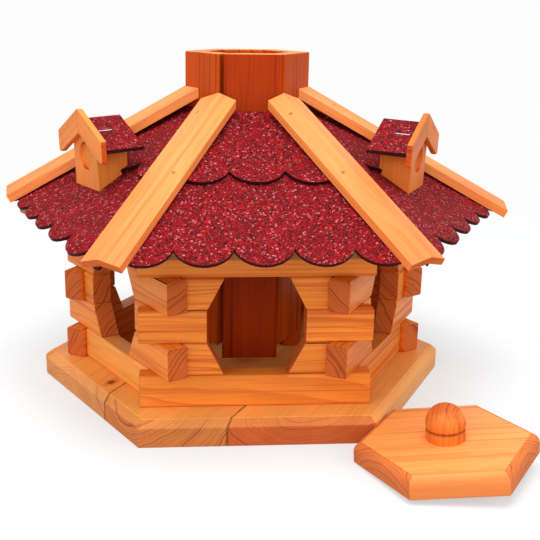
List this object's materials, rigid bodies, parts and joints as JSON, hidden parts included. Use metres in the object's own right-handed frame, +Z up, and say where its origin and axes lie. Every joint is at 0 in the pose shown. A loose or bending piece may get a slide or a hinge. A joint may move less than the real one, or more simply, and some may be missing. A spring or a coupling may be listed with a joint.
{
  "type": "bird feeder",
  "caption": "Six-sided timber bird feeder with beam walls, octagonal feeding openings, a seed silo through a shingled roof with dormers, and a lid with a knob lying beside it.",
  "frame": {"origin": "centre of the underside of the floor", "axes": "+Z up, -Y towards the side with the full feeding opening that faces the camera, +X to the right of it; the lid lies on the ground at +X, -Y"},
  "size_m": [0.5083, 0.5253, 0.326],
  "materials": {
    "varnished_pine": "orange glaze on planed pine, satin",
    "light_pine": "light glaze on planed pine, satin",
    "bare_pine": "raw sawn board",
    "red_brown_stained_pine": "red-brown stain, satin",
    "red_shingle": "bitumen felt with crimson mineral granules, matt",
    "steel": "bright wire"
  },
  "bodies": {
    "feeder": {"floor_plank_right": "varnished_pine", "floor_plank_middle": "varnished_pine", "floor_plank_left": "varnished_pine", "bottom_rail_front": "varnished_pine", "wall_blocks_front": "varnished_pine", "top_rails_front": "varnished_pine", "silo_board_front": "red_brown_stained_pine", "roof_panel_front": "bare_pine", "shingles_front": "red_shingle", "bottom_rail_front_right": "varnished_pine", "wall_blocks_front_right": "varnished_pine", "top_rails_front_right": "varnished_pine", "silo_board_front_right": "red_brown_stained_pine", "roof_panel_front_right": "bare_pine", "shingles_front_right": "red_shingle", "bottom_rail_back_right": "varnished_pine", "wall_blocks_back_right": "varnished_pine", "top_rails_back_right": "varnished_pine", "silo_board_back_right": "red_brown_stained_pine", "roof_panel_back_right": "bare_pine", "shingles_back_right": "red_shingle", "bottom_rail_back": "varnished_pine", "wall_blocks_back": "varnished_pine", "top_rails_back": "varnished_pine", "silo_board_back": "red_brown_stained_pine", "roof_panel_back": "bare_pine", "shingles_back": "red_shingle", "bottom_rail_back_left": "varnished_pine", "wall_blocks_back_left": "varnished_pine", "top_rails_back_left": "varnished_pine", "silo_board_back_left": "red_brown_stained_pine", "roof_panel_back_left": "bare_pine", "shingles_back_left": "red_shingle", "bottom_rail_front_left": "varnished_pine", "wall_blocks_front_left": "varnished_pine", "top_rails_front_left": "varnished_pine", "silo_board_front_left": "red_brown_stained_pine", "roof_panel_front_left": "bare_pine", "shingles_front_left": "red_shingle", "hip_cap_front_right": "light_pine", "hip_cap_right": "light_pine", "hip_cap_back_right": "light_pine", "hip_cap_back_left": "light_pine", "hip_cap_left": "light_pine", "hip_cap_front_left": "light_pine", "dormer_block_left": "varnished_pine", "dormer_front_boards_left": "varnished_pine", "dormer_shingle_left": "red_shingle", "dormer_block_right": "varnished_pine", "dormer_front_boards_right": "varnished_pine", "dormer_shingle_right": "red_shingle", "cap_nails": "steel", "dormer_staples": "steel"},
    "lid": {"lid_plate": "light_pine", "lid_locator": "light_pine", "lid_knob": "varnished_pine", "lid_screw": "steel"}
  },
  "joints": [
    {"name": "lid_lift", "type": "slide", "parent": "feeder", "child": "lid", "axis": [0.3536, -0.6124, 0.7071], "range_m": [0, 0.3]}
  ]
}
